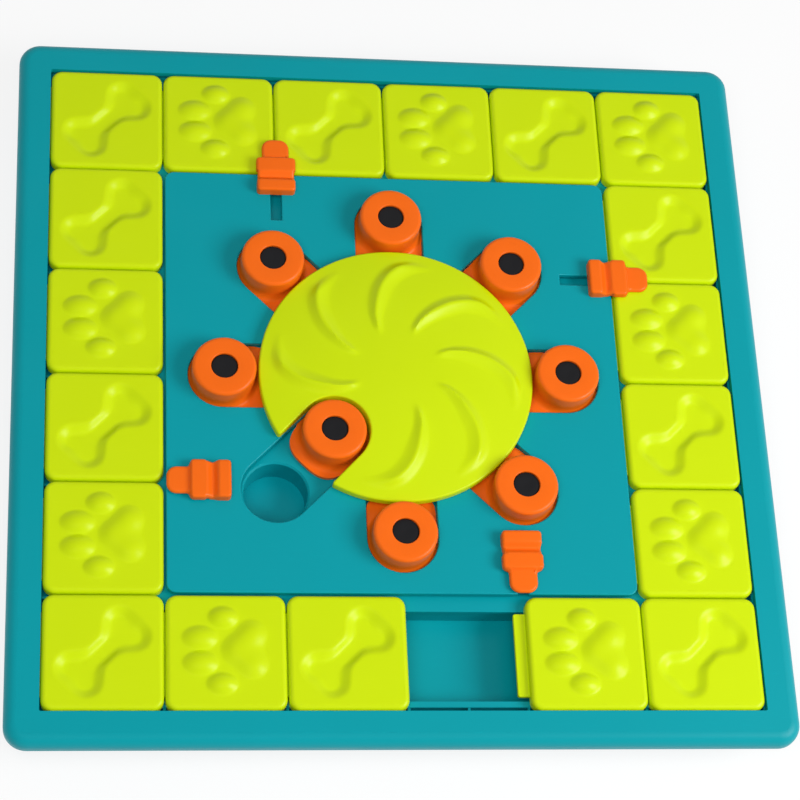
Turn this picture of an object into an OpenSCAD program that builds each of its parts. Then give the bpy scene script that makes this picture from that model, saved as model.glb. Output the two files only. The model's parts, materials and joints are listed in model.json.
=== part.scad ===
// Treat puzzle board: a square board with a ring of sliding tiles round its edge, a turning wheel in
// the middle, eight sliding pocket knobs and four sliding latches.
// Millimetres. The origin is the centre of the board on the plane of its feet, +Z is up, and the
// front, where the ring has its gap, faces -Y.

/* [Tile ring] */
// Distance between the centres of neighbouring tiles
tile_pitch = 62.8; // [60:0.2:66]
// Free gap between neighbouring tiles
tile_gap = 0.7; // [0.5:0.1:1.2]
// Corner radius of a tile seen from above
tile_corner_r = 6; // [4:0.5:8]
// Rounding of a tile's top edge
tile_edge_r = 1.6; // [0.8:0.1:2.4]
// Thickness of a tile's top plate
tile_plate_t = 3.9; // [3:0.1:4.5]
// How far a tile's tongue reaches past its left edge
tongue_out = 6.2; // [4:0.1:6.6]
// Width of a tile's tongue
tongue_w = 45.4; // [36:0.2:46]
// Depth that a tile's guide skirt hangs into the treat trough
skirt_drop = 9.1; // [6:0.1:12]

/* [Tile patterns] */
// Distance between the two ends of the bone pattern
bone_len = 36.7; // [28:0.1:38]
// Distance between the two lobes at one end of the bone
bone_spread = 14; // [10:0.5:16]
// Radius of a lobe of the bone
bone_lobe_r = 8; // [6:0.5:8.5]
// Half width of the bone's shaft
bone_shaft_half = 5.5; // [4:0.5:6.5]
// Depth of the bone pattern
bone_depth = 2.8; // [1.5:0.1:3.2]
// Height of the paw pattern
paw_rise = 2.2; // [1:0.1:3]

/* [Board] */
// Width of the rim round the ring of tiles
rim_w = 17.9; // [14:0.1:24]
// Corner radius of the board
rim_corner_r = 12; // [10:0.5:20]
// Rounding of the rim's outer top edge
rim_edge_r = 6.4; // [3:0.1:8]
// Height of the rim's outer lip
rim_drop = 9.6; // [9:0.1:14]
// Height of the tile tops above the table
top_z = 39; // [36:0.5:46]
// Height of the trough's floor above the table
floor_z = 14; // [12:0.5:16]
// Wall thickness of the mouldings
wall = 2; // [1.6:0.1:2.4]
// Thickness of floors and ledges
ledge_t = 2.5; // [2:0.1:3]
// Width of the treat trough under the tiles
trough_w = 49; // [46.5:0.5:50]
// Overhang of the ledges over the trough's walls
lip_over = 1.6; // [1.2:0.1:1.8]
// Radius of a rubber foot
foot_r = 10; // [8:0.5:12]
// Height of a rubber foot under the board
foot_h = 2; // [1.5:0.1:3]

/* [Deck] */
// How far the deck lies below the tile tops
deck_drop = 0.7; // [0.4:0.1:1.2]
// Thickness of the deck
deck_t = 2.9; // [2.4:0.1:3.2]
// Gap between the deck's edge and the tiles
deck_gap = 1.3; // [0.8:0.1:2]
// Corner radius of the deck
deck_corner_r = 5; // [3:0.5:8]
// Height of the race under the deck for tongues and knob flanges
race_h = 3.2; // [3.2:0.1:4]

/* [Knobs and pockets] */
// Travel of a knob from its pocket into the wheel's notch
knob_travel = 43.6; // [42:0.1:44]
// Radius of a knob
knob_r = 17.3; // [16:0.1:17.4]
// Rounding of a knob's top edge
knob_edge_r = 2; // [1:0.1:3]
// Height of a knob above the tile tops
knob_rise = 10.8; // [9:0.1:13]
// Radius of a knob's flange
knob_flange_r = 21.5; // [20.5:0.1:21.5]
// Radius of the hole in a knob's top
knob_hole_r = 6.9; // [5:0.1:9]
// Width of the channel that a knob slides in
channel_w = 38; // [37.6:0.1:38.4]
// Radius of a treat pocket
pocket_r = 17.25; // [15:0.25:17.25]

/* [Wheel] */
// Free gap between the wheel and the knobs that cover their pockets
wheel_gap = 1.5; // [1.2:0.1:3]
// Height of the wheel's rim above the tile tops
wheel_rim_rise = 5; // [4:0.1:6]
// Height of the wheel's crown above its rim
wheel_crown = 6; // [3:0.1:8]
// Rounding of the wheel's edge
wheel_edge_r = 2.2; // [1:0.1:2.6]
// Free gap round the knob in the wheel's notch
notch_gap = 2; // [1.5:0.1:2.4]
// Number of places for a vane round the wheel, one of which is the notch
vane_places = 8; // [6:1:10]
// Height of the vanes above the wheel's crown
vane_rise = 2.2; // [1:0.1:3]
// Radius of the wheel's stub shaft
stub_r = 8; // [6:0.5:9]

/* [Latches] */
// Length of a latch
latch_len = 34; // [32:0.5:34]
// Width of a latch's grip
latch_w = 22; // [18:0.1:24]
// Width of a latch's tip
latch_tip_w = 15.2; // [12:0.1:17]
// Height of a latch's grip above the deck
latch_h = 6.5; // [5:0.1:8]
// Travel of a latch
latch_travel = 21; // [18:0.5:21]
// Width of a latch's slot in the deck
slot_w = 6.1; // [5:0.1:7]

/* [Fits] */
// Clearance of pieces that slide on one another
slide_gap = 0.3; // [0.2:0.05:0.4]
// Radial clearance of a shaft in its bore
shaft_gap = 0.06; // [0.03:0.01:0.1]

/* [Hidden] */
$fn = 72;

lime = [0.78, 0.88, 0.04];
teal = [0.0, 0.56, 0.61];
orange = [1.0, 0.42, 0.12];
black = [0.03, 0.03, 0.035];
steel = [0.7, 0.71, 0.73];
rubber = [0.06, 0.07, 0.07];

places = ["back", "back_right", "right", "front_right", "front", "front_left", "left", "back_left"];
latch_places = ["back", "right", "front", "left"];
tile_count = 19;
gap_place = 12;
function two_digits(n) = str(n < 10 ? "0" : "", n);
function tile_name(n) = str(n % 2 == 0 ? "tile_bone_" : "tile_paw_", two_digits(n + 1));
tile_names = [for (n = [0 : tile_count - 1]) tile_name(n)];
knob_names = [for (p = places) str("knob_", p)];
plug_names = [for (p = places) str("knob_plug_", p)];
latch_names = [for (p = latch_places) str("latch_", p)];

// Heights
deck_z = top_z - deck_drop;
race_top = deck_z - deck_t;
ledge_z = race_top - race_h;
ledge_low = ledge_z - ledge_t;
floor_low = floor_z - ledge_t;
lip_low = top_z - rim_drop;
wall_low = foot_h + 0.5;

// Distances from the board's centre to the parts of its square rings
ring_mid = 2.5 * tile_pitch;
ring_half = 3 * tile_pitch;
rim_in = ring_half + 0.1;
rim_out = rim_in + rim_w;
trough_out = ring_mid + trough_w / 2;
trough_in = ring_mid - trough_w / 2;
trough_wall = 1.6;
out_wall_in = trough_out + lip_over;
in_wall_out = trough_in - lip_over;
groove_in = out_wall_in + trough_wall;
groove_out = rim_in - 0.3;
groove_z = ledge_z - 5.2;
race_end = ring_half + tongue_out + 0.6;
tile_in = 2 * tile_pitch + tile_gap / 2;
deck_half = tile_in - deck_gap;
race_in = tile_in - tongue_out - 1.8;
tray_half = race_in + 2.6;
tray_seat = tray_half - 4.6;
ring_corner_r = 3;

// Rubber foot's stem
foot_stem_r = 3.9;
foot_stem_h = 5;

// Tile
tile_w = tile_pitch - tile_gap;
tile_foot_z = ledge_z + slide_gap;
tongue_top = top_z - tile_plate_t - 0.4;
tile_rim_t = 2.4;
skirt_w = trough_w - 1;
skirt_low = ledge_low - slide_gap - 3.4;
barb_w = 12;

// Knob
knob_orbit = race_in - wall - 0.65 - knob_flange_r;
knob_in_orbit = knob_orbit - knob_travel;
flange_t = 2.3;
flange_low = ledge_z + slide_gap;
flat_half = channel_w / 2 - slide_gap;
knob_top = top_z + knob_rise;
flare_top = top_z + 1;
flare_low_r = channel_w / 2 - 0.4;
plug_sink = 2.5;
plug_len = 6.3;

// Wheel
wheel_r = knob_orbit - knob_r - wheel_gap;
wheel_low = deck_z + 0.7;
notch_r = knob_r + notch_gap;
hub_r = 14;
hub_top = wheel_low - slide_gap;
hub_low = top_z - 14;
stub_low = hub_low - slide_gap;
washer_r = 12;
washer_t = 1.2;
washer_bore_r = 1.9;
screw_r = 1.5;
screw_head_r = 3.2;
screw_head_h = 2;
pilot_r = 1.5 + shaft_gap;

// Latch, measured outwards from its rear end
latch_in = 2 * tile_pitch - 35;
slot_end = latch_in + 5.3;
foot_rear = 5.9;
foot_front = 10.9;
nib_end = 17.1;
nib_w = 2.8;
keeper_w = 9;
latch_z = deck_z + slide_gap;
tip_z = top_z + 1;

// Screws that hold the deck and the tray to the tub
corner_screw = tray_half - 12.6;
wedge_screw_r = knob_orbit - 13.8;
post_r = 4.5;
screw_clear_r = 1.75;
screw_tip_z = deck_z - 1.2;

// Shared forms ---------------------------------------------------------------------------------

// Rectangle with round corners, centred
module round_rect(w, d, r) {
    square([w - 2 * r, d], center = true);
    square([w, d - 2 * r], center = true);
    for (x = [-1, 1], y = [-1, 1])
        translate([x * (w / 2 - r), y * (d / 2 - r)]) circle(r);
}

// Upright plate with round corners, from z0 to z1
module plate(half, r, z0, z1) {
    translate([0, 0, z0]) linear_extrude(z1 - z0) round_rect(2 * half, 2 * half, r);
}

// Square ring between two half widths, from z0 to z1
module square_ring(outer, inner, z0, z1, r_out = ring_corner_r, r_in = ring_corner_r) {
    translate([0, 0, z0]) linear_extrude(z1 - z0) difference() {
        round_rect(2 * outer, 2 * outer, r_out);
        round_rect(2 * inner, 2 * inner, r_in);
    }
}

// Cross-section of a bar with its two top edges rounded
module bar_section(w, h, e) {
    translate([-w / 2, 0]) square([w, h - e]);
    translate([e - w / 2, 0]) square([w - 2 * e, h]);
    for (x = [-1, 1]) translate([x * (w / 2 - e), h - e]) circle(e);
}

// Square plate with round corners of radius r and its top edge rounded by e, standing on z = 0
module soft_plate(w, h, r, e) {
    rotate([90, 0, 0]) linear_extrude(w - 2 * r, center = true) bar_section(w, h, e);
    rotate([90, 0, 90]) linear_extrude(w - 2 * r, center = true) bar_section(w, h, e);
    for (x = [-1, 1], y = [-1, 1])
        translate([x * (w / 2 - r), y * (w / 2 - r), 0])
            rotate_extrude() intersection() {
                bar_section(2 * r, h, e);
                square([r, h]);
            }
}

// Copies at the corners of a square, at the feet, between the channels and at the pockets
module at_corners(half) {
    for (x = [-1, 1], y = [-1, 1]) translate([x * half, y * half, 0]) children();
}
module at_feet() {
    for (x = [-1 : 1], y = [-1 : 1])
        if (x != 0 || y != 0) translate([x * ring_mid, y * ring_mid, 0]) children();
}
module at_wedges(r) {
    for (a = [22.5 : 45 : 360]) rotate(a) translate([r, 0, 0]) children();
}
module at_pockets(r) {
    for (a = [0 : 45 : 315]) rotate(a) translate([r, 0, 0]) children();
}

// Base -----------------------------------------------------------------------------------------

// Rim with its rolled outer edge, hollow underneath
module rim() {
    difference() {
        translate([0, 0, lip_low]) soft_plate(2 * rim_out, rim_drop, rim_corner_r, rim_edge_r);
        plate(rim_in, 1, lip_low - 1, top_z + 1);
        plate(rim_out - wall - 0.5, rim_corner_r - wall - 0.5, lip_low - 1, race_top);
    }
}

// Short webs across the groove outside the trough
module groove_webs() {
    web_t = 1.4;
    for (a = [0 : 90 : 270], n = [-5 : 5])
        rotate(a) translate([groove_in - 0.2, n * tile_pitch / 2 - web_t / 2, groove_z - 0.2])
            cube([groove_out - groove_in + 0.4, web_t, ledge_z - groove_z - 0.6]);
}

module base_tub() {
    color(teal) difference() {
        union() {
            rim();
            square_ring(race_end + wall, race_end, ledge_low, race_top + 0.2);
            square_ring(race_end + 0.2, groove_out, ledge_low, ledge_z);
            square_ring(groove_in, trough_out, ledge_low, ledge_z);
            square_ring(groove_out + wall, groove_in - 0.5, groove_z - wall, groove_z);
            square_ring(groove_out + wall, groove_out, wall_low, ledge_z);
            square_ring(groove_in, out_wall_in, floor_low, ledge_z);
            square_ring(groove_out + 0.5, in_wall_out - trough_wall, floor_low, floor_z);
            square_ring(in_wall_out, in_wall_out - trough_wall, wall_low, ledge_z);
            square_ring(trough_in, tray_half + 0.4, ledge_low, ledge_z);
            square_ring(in_wall_out, tray_seat, ledge_low - wall, ledge_low);
            intersection() {
                plate(tray_seat + 1, ring_corner_r, ledge_low - wall, ledge_low);
                at_corners(corner_screw) translate([-9, -9, ledge_low - wall - 1]) cube([18, 18, wall + 2]);
            }
            groove_webs();
            at_feet() translate([0, 0, foot_h]) cylinder(r = foot_r, h = floor_low - foot_h + 0.2);
        }
        at_feet() translate([0, 0, foot_h - 1]) cylinder(r = foot_stem_r + 0.1, h = foot_stem_h + 1.5);
        at_corners(corner_screw) translate([0, 0, ledge_low - 5]) cylinder(r = screw_clear_r, h = 10);
    }
}

// Tray under the deck, open over the treat cups, with the wheel's bearing
module well_tray() {
    rib_h = 3;
    color(teal) difference() {
        union() {
            plate(tray_half, 4, ledge_low, ledge_z);
            translate([0, 0, hub_low]) cylinder(r = hub_r, h = hub_top - hub_low);
            at_wedges(hub_r - 1)
                translate([0, -0.8, ledge_low - rib_h]) cube([knob_orbit - hub_r, 1.6, rib_h + 0.5]);
        }
        at_pockets(knob_orbit) {
            translate([0, 0, ledge_low - 1]) cylinder(r = pocket_r, h = ledge_t + 2);
            translate([0, 0, ledge_z - 1]) cylinder(r1 = pocket_r, r2 = pocket_r + 1.2, h = 1.2);
        }
        translate([0, 0, hub_low - 1]) cylinder(r = stub_r + shaft_gap, h = hub_top - hub_low + 2);
        at_corners(corner_screw) translate([0, 0, ledge_low - 1]) cylinder(r = screw_clear_r, h = ledge_t + 2);
        at_wedges(wedge_screw_r) translate([0, 0, ledge_low - rib_h - 1]) {
            cylinder(r = screw_clear_r, h = ledge_t + rib_h + 2);
            cylinder(r = screw_head_r + 0.3, h = rib_h + 1);
        }
    }
}

// Eight cups that hold the treats, each welded by its flange to the underside of the tray
module treat_cups() {
    flange_out = 2;
    flange_h = 1.5;
    color(teal) at_pockets(knob_orbit) difference() {
        union() {
            translate([0, 0, floor_low]) cylinder(r = pocket_r + wall, h = ledge_low - floor_low);
            translate([0, 0, ledge_low - flange_h]) cylinder(r = pocket_r + wall + flange_out, h = flange_h);
        }
        translate([0, 0, floor_z]) cylinder(r = pocket_r, h = ledge_low - floor_z + 1);
    }
}

// Eight channels that meet in the middle, as a flat outline
module channel_outline() {
    for (a = [0 : 45 : 315]) rotate(a) {
        translate([0, -channel_w / 2]) square([knob_orbit, channel_w]);
        translate([knob_orbit, 0]) circle(channel_w / 2);
    }
}

module deck() {
    color(teal) difference() {
        union() {
            translate([0, 0, race_top]) soft_plate(2 * deck_half, deck_t, deck_corner_r, 1);
            square_ring(race_in, race_in - wall, ledge_z, race_top + 0.2, 4, 3);
            at_corners(corner_screw) translate([0, 0, ledge_z]) cylinder(r = post_r, h = race_h + 0.2);
            at_wedges(wedge_screw_r) translate([0, 0, ledge_z]) cylinder(r = post_r, h = race_h + 0.2);
        }
        translate([0, 0, race_top - 1]) linear_extrude(deck_t + 2) channel_outline();
        for (k = [0 : 3]) rotate(-90 * k) {
            translate([-tile_pitch - slot_w / 2, slot_end, race_top - 1])
                cube([slot_w, deck_half - slot_end + 1, deck_t + 2]);
            translate([-tile_pitch - keeper_w / 2 - 0.8, race_in - wall - 1, ledge_z - 1])
                cube([keeper_w + 1.6, wall + 2, race_h + 1]);
        }
        at_corners(corner_screw) translate([0, 0, ledge_z - 1]) cylinder(r = pilot_r, h = screw_tip_z - ledge_z + 1);
        at_wedges(wedge_screw_r) translate([0, 0, ledge_z - 1]) cylinder(r = pilot_r, h = screw_tip_z - ledge_z + 1);
    }
}

// Screw with its head at the bottom, its shank ending at z_tip
module screw(z_seat, z_tip) {
    translate([0, 0, z_seat - screw_head_h]) cylinder(r = screw_head_r, h = screw_head_h);
    translate([0, 0, z_seat - 0.5]) cylinder(r = screw_r, h = z_tip - z_seat + 0.5);
}

module deck_screws() {
    color(steel) {
        at_corners(corner_screw) screw(ledge_low - wall, screw_tip_z - 0.4);
        at_wedges(wedge_screw_r) screw(ledge_low, screw_tip_z - 0.4);
    }
}

module rubber_feet() {
    color(rubber) at_feet() {
        cylinder(r = foot_r, h = foot_h);
        cylinder(r = foot_stem_r, h = foot_h + foot_stem_h);
    }
}

// Wheel ----------------------------------------------------------------------------------------

crown_r = (wheel_r * wheel_r + wheel_crown * wheel_crown) / (2 * wheel_crown);
rim_top = top_z + wheel_rim_rise + 0.065 * wheel_crown;

// Half section of the wheel out to radius r, under its crown raised by lift
module crown_section(r, lift) {
    intersection() {
        translate([0, top_z + wheel_rim_rise + wheel_crown + lift - crown_r]) circle(crown_r, $fn = 240);
        union() {
            translate([0, wheel_low]) square([r, rim_top - wheel_edge_r - wheel_low]);
            translate([0, wheel_low]) square([r - wheel_edge_r, knob_top - wheel_low]);
            if (lift == 0) translate([r - wheel_edge_r, rim_top - wheel_edge_r]) circle(wheel_edge_r);
        }
    }
}

module notch(r, z0, z1) {
    translate([0, 0, z0]) rotate(225) {
        translate([knob_in_orbit, 0, 0]) cylinder(r = r, h = z1 - z0);
        translate([knob_in_orbit, -r, 0]) cube([wheel_r, 2 * r, z1 - z0]);
    }
}

// A vane is the crescent between two arcs, with a round outer end that touches both
vane_size = wheel_r / 75;
vane_back = vane_size * [38, -20.9];
vane_back_r = vane_size * 36.2;
vane_front = vane_size * [28.6, -28];
vane_front_r = vane_size * 39.4;
vane_end_r = vane_size * 4.2;
function meet(a, ra, b, rb, side) =
    let (d = norm(b - a), u = (b - a) / d, x = (ra * ra - rb * rb + d * d) / (2 * d))
    a + x * u + side * sqrt(ra * ra - x * x) * [-u[1], u[0]];
function bearing(c, p) = atan2(p[1] - c[1], p[0] - c[0]);
function arc(c, r, from, to, n) = [for (i = [0 : n]) let (a = from + (to - from) * i / n) c + r * [cos(a), sin(a)]];

module vane_outline() {
    tip = meet(vane_back, vane_back_r, vane_front, vane_front_r, -1);
    end = meet(vane_back, vane_back_r - vane_end_r, vane_front, vane_front_r + vane_end_r, 1);
    back_a = bearing(vane_back, end);
    front_a = bearing(vane_front, end);
    polygon(concat(
        arc(vane_back, vane_back_r, bearing(vane_back, tip), back_a, 9),
        arc(end, vane_end_r, back_a - 30, front_a - 150, 4),
        arc(vane_front, vane_front_r, front_a, bearing(vane_front, tip) - 2, 8)));
}

module wheel() {
    color(lime) {
        difference() {
            union() {
                rotate_extrude() crown_section(wheel_r, 0);
                translate([0, 0, stub_low]) cylinder(r = stub_r, h = wheel_low - stub_low + 1);
            }
            difference() {
                translate([0, 0, wheel_low - 1]) cylinder(r = wheel_r - 3.5, h = 3.4);
                translate([0, 0, wheel_low - 2]) cylinder(r = hub_r + 1, h = 6);
                notch(notch_r + wall + 0.5, wheel_low - 2, wheel_low + 4);
            }
            notch(notch_r, wheel_low - 1, knob_top + wheel_crown);
            translate([0, 0, stub_low - 1]) cylinder(r = pilot_r, h = 11);
        }
        intersection() {
            rotate_extrude() crown_section(wheel_r - wheel_edge_r, vane_rise);
            for (k = [0 : vane_places - 1])
                let (a = 360 / vane_places * k)
                if (abs(a - 225) > 1) rotate(a)
                    translate([0, 0, top_z + wheel_rim_rise - 1])
                        linear_extrude(wheel_crown + vane_rise + 2) vane_outline();
        }
    }
}

module wheel_washer() {
    color(steel) translate([0, 0, stub_low - washer_t]) difference() {
        cylinder(r = washer_r, h = washer_t);
        translate([0, 0, -1]) cylinder(r = washer_bore_r, h = washer_t + 2);
    }
}

module wheel_screw() {
    color(steel) screw(stub_low - washer_t, stub_low + 9.4);
}

// Knobs ----------------------------------------------------------------------------------------

flare_steps = 5;
// Concave flare from the knob's side down to its flange
function flare_point(t) = [
    knob_r + (flare_low_r - knob_r) * (1 - cos(90 * t)),
    flare_top + (flange_low + flange_t - flare_top) * sin(90 * t)];

// Knob on its own axis, its slide direction along X
module knob() {
    difference() {
        rotate_extrude() {
            polygon(concat(
                [[0, flange_low], [0, knob_top], [knob_r - knob_edge_r, knob_top]],
                [for (a = [75 : -15 : 0])
                    [knob_r - knob_edge_r + knob_edge_r * cos(a), knob_top - knob_edge_r + knob_edge_r * sin(a)]],
                [for (i = [0 : flare_steps]) flare_point(i / flare_steps)],
                [[knob_flange_r, flange_low + flange_t - 0.1], [knob_flange_r, flange_low]]));
        }
        for (y = [-1, 1]) translate([-knob_flange_r - 1, y > 0 ? flat_half : -flat_half - 10, flange_low - 1])
            cube([2 * knob_flange_r + 2, 10, 8]);
        translate([0, 0, knob_top - plug_sink - plug_len]) cylinder(r = knob_hole_r, h = 20);
        translate([0, 0, flange_low - 1]) cylinder(r = knob_r - wall - 1, h = 5);
    }
}

module knob_plug() {
    translate([0, 0, knob_top - plug_sink - plug_len]) cylinder(r = knob_hole_r - shaft_gap, h = plug_len);
}

// Place of knob n: all cover their pockets but the front left one, which is slid into the wheel
module at_knob(n) {
    rotate(90 - 45 * n) translate([places[n] == "front_left" ? knob_in_orbit : knob_orbit, 0, 0]) children();
}

// Latches --------------------------------------------------------------------------------------

// Side view of a latch, length against height above the deck, with its finger groove
module latch_profile() {
    groove_at = 9.6;
    groove_r = 3.4;
    tip_top = 3.7;
    step_at = latch_len - 12;
    under = tip_z - deck_z;
    difference() {
        union() {
            translate([0, slide_gap]) square([foot_front, latch_h - slide_gap - 1.5]);
            translate([1.5, slide_gap]) square([foot_front, latch_h - slide_gap]);
            translate([1.5, latch_h - 1.5]) circle(1.5);
            translate([foot_front - 0.5, under]) square([step_at - foot_front + 0.5, latch_h - under - 2]);
            translate([foot_front - 0.5, under]) square([step_at - foot_front - 1, latch_h - under - 0.5]);
            translate([step_at - 1.5, latch_h - 2]) circle(1.5);
            translate([foot_front, under]) square([latch_len - foot_front - 1.2, tip_top - under]);
            translate([foot_front, under]) square([latch_len - foot_front, tip_top - under - 1.2]);
            translate([latch_len - 1.2, tip_top - 1.2]) circle(1.2);
        }
        translate([groove_at, latch_h + groove_r - 3]) circle(groove_r);
        translate([groove_at - groove_r, latch_h + groove_r - 3]) square([2 * groove_r, 4]);
    }
}

// Latch lying along Y from its rear end at y = 0
module latch() {
    step_at = latch_len - 12;
    intersection() {
        translate([0, 0, deck_z]) rotate([90, 0, 90]) linear_extrude(latch_w + 4, center = true) latch_profile();
        translate([0, 0, deck_z]) linear_extrude(latch_h + 1) {
            translate([0, 5]) round_rect(latch_w - 0.6, 10, 2);
            translate([0, 5 + step_at / 2]) round_rect(latch_w - 1.4, step_at - 10, 1);
            translate([0, (step_at + 11) / 2]) round_rect(latch_w, step_at - 11, 2.5);
            translate([0, (latch_len + 12) / 2]) round_rect(latch_tip_w, latch_len - 12, 6);
        }
    }
    translate([-slot_w / 2 + 0.35, foot_rear, race_top - slide_gap - 0.1])
        cube([slot_w - 0.7, foot_front - foot_rear, deck_z - race_top + 1.5]);
    translate([-nib_w / 2, foot_rear, race_top + 0.2]) cube([nib_w, nib_end - foot_rear - nib_w / 2, 4.5]);
    translate([0, nib_end - nib_w / 2, race_top + 0.2]) cylinder(d = nib_w, h = 4.5);
    translate([-keeper_w / 2, foot_rear, race_top - slide_gap - 1.6]) cube([keeper_w, foot_front - foot_rear, 1.6]);
}

// Place of latch k: the back and right latches are out over the tiles, the other two are drawn in
module at_latch(k) {
    out = k < 2 ? latch_travel : 0;
    rotate(-90 * k) translate([-tile_pitch, latch_in + out, 0]) children();
}

// Tiles ----------------------------------------------------------------------------------------

// Low rounded ridge or scoop between two points, as a ball rolled along the line: half width w, height h
module rolled(a, b, w, h) {
    ball_r = (w * w + h * h) / (2 * h);
    run = norm(b - a);
    for (p = [a, b]) translate([p[0], p[1], 0]) sphere(ball_r);
    if (run > 0.01) translate([a[0], a[1], 0])
        rotate([0, 0, atan2(b[1] - a[1], b[0] - a[0])]) rotate([0, 90, 0]) cylinder(r = ball_r, h = run);
}

// A ball of half width w and height h stands this far above its centre at the surface
function ball_lift(w, h) = (w * w - h * h) / (2 * h);

module bone_scoop() {
    rotate(45) {
        translate([0, 0, top_z + ball_lift(bone_shaft_half, bone_depth)])
            rolled([-bone_len / 2, 0], [bone_len / 2, 0], bone_shaft_half, bone_depth);
        for (x = [-1, 1], y = [-1, 1])
            translate([x * bone_len / 2, y * bone_spread / 2, top_z + ball_lift(bone_lobe_r, bone_depth)])
                sphere((bone_lobe_r * bone_lobe_r + bone_depth * bone_depth) / (2 * bone_depth));
    }
}

// Low oval pad, half length l along X, half width w and height h, cut from a spindle lying along X
module oval_pad(l, w, h) {
    spin_r = (w * w + h * h) / (2 * h);
    arc_r = (l * l + h * h) / (2 * h);
    translate([0, 0, h - spin_r]) rotate([0, 90, 0]) rotate_extrude() intersection() {
        translate([spin_r - arc_r, 0]) circle(arc_r);
        translate([0, -l - 1]) square([spin_r + 1, 2 * l + 2]);
    }
}

// Toes: middle, half length and half width, drawn for a tile 62.1 wide
paw_size = tile_w / 62.1;
toes = paw_size * [
    [-1, 18, 8, 5.6],
    [-12.6, 7, 9, 6.6],
    [-12.6, -7, 9, 6.6],
    [-1, -18, 8, 5.6]];
pad_apex = paw_size * 5.2;
pad_base = paw_size * 16;
pad_side = paw_size * 9.6;
pad_corner_r = paw_size * 7.4;

// Rounded triangle of the paw's large pad, its apex towards -X
module pad_outline() {
    run = [pad_base - pad_apex, pad_side];
    n = pad_corner_r * [-run[1], run[0]] / norm(run);
    translate([pad_apex, 0]) circle(pad_corner_r);
    for (y = [-1, 1]) translate([pad_base, y * pad_side]) circle(pad_corner_r);
    polygon([
        [pad_apex + n[0], n[1]], [pad_base + n[0], pad_side + n[1]], [pad_base + pad_corner_r, pad_side],
        [pad_base + pad_corner_r, -pad_side], [pad_base + n[0], -pad_side - n[1]], [pad_apex + n[0], -n[1]]]);
}

module paw_pads() {
    intersection() {
        union() for (t = toes) translate([t[0], t[1], top_z]) oval_pad(t[2], t[3], paw_rise);
        translate([-tile_w / 2, -tile_w / 2, top_z - 1]) cube([tile_w, tile_w, 10]);
    }
    dome_r = paw_size * 92;
    intersection() {
        translate([0, 0, top_z - 1]) linear_extrude(10) pad_outline();
        translate([pad_base - 3.5, 0, top_z + paw_rise + 0.5 - dome_r]) sphere(dome_r);
    }
}

module tile(bone) {
    plate_low = top_z - tile_plate_t;
    color(lime) {
        difference() {
            union() {
                translate([0, 0, tile_foot_z]) soft_plate(tile_w, top_z - tile_foot_z, tile_corner_r, tile_edge_r);
                plate(skirt_w / 2, 3, skirt_low, tile_foot_z + 1);
                translate([-tile_w / 2 - tongue_out, -tongue_w / 2, tile_foot_z])
                    cube([tongue_out + 4, tongue_w, tongue_top - tile_foot_z]);
                for (a = [0 : 90 : 270]) rotate(a)
                    translate([skirt_w / 2 - 0.5, -barb_w / 2, skirt_low])
                        cube([lip_over + 0.3, barb_w, ledge_low - slide_gap - skirt_low - 0.3]);
            }
            difference() {
                plate(tile_w / 2 - tile_rim_t, tile_corner_r - tile_rim_t, tile_foot_z - 1, plate_low);
                plate(skirt_w / 2, 3, tile_foot_z - 2, plate_low + 1);
                translate([-tile_w / 2, -tongue_w / 2, tile_foot_z - 2]) cube([10, tongue_w, 9]);
            }
            plate(skirt_w / 2 - 1.8, 2, skirt_low - 1, plate_low - 2);
            translate([tile_w / 2 - tile_rim_t - 1, -tongue_w / 2 - 0.6, tile_foot_z - 1])
                cube([tile_rim_t + 2, tongue_w + 1.2, plate_low - tile_foot_z + 1]);
            if (bone) bone_scoop();
        }
        if (!bone) paw_pads();
    }
}

// Place p of the ring's twenty, counted clockwise from the back left corner
function ring_place(p) =
    let (side = floor(p / 5), step = p % 5)
    tile_pitch * (side == 0 ? [step - 2.5, 2.5]
        : side == 1 ? [2.5, 2.5 - step]
        : side == 2 ? [2.5 - step, -2.5]
        : [-2.5, step - 2.5]);

module at_tile(n) {
    p = ring_place(n < gap_place ? n : n + 1);
    translate([p[0], p[1], 0]) children();
}

// Assembly -------------------------------------------------------------------------------------

base_tub();
well_tray();
treat_cups();
deck();
deck_screws();
rubber_feet();
wheel();
wheel_washer();
wheel_screw();
for (n = [0 : 7]) {
    color(orange) at_knob(n) knob();
    color(black) at_knob(n) knob_plug();
}
for (k = [0 : 3])
    color(orange) at_latch(k) latch();
for (n = [0 : tile_count - 1])
    at_tile(n) tile(n % 2 == 0);
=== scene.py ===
"""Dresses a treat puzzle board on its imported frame: tiles, wheel, knobs, latches, deck, tub and studio.

The board lies on its feet at z = 0 and the gap in its ring of tiles faces -Y. Lengths are in metres.
"""

import json
import math

import bmesh
import bpy
import numpy as np
from bpy.props import FloatProperty, FloatVectorProperty, IntProperty, PointerProperty
from mathutils import Matrix, Vector, geometry


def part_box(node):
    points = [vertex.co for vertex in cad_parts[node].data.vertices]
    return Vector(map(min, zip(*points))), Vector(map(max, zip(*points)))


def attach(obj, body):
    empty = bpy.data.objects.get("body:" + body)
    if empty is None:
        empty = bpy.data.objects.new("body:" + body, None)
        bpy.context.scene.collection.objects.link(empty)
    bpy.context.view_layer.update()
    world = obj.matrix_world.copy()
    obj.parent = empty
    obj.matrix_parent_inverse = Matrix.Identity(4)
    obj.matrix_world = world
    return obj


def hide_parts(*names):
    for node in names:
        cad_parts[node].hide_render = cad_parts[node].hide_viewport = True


bl_info = {
    "name": "Treat Puzzle Board",
    "version": (1, 0, 0),
    "blender": (4, 5, 0),
    "location": "3D View > Sidebar > Puzzle Board",
    "description": "Builds the detailed pieces, plastics and studio of a treat puzzle board on its frame",
    "category": "Object",
}

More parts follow.
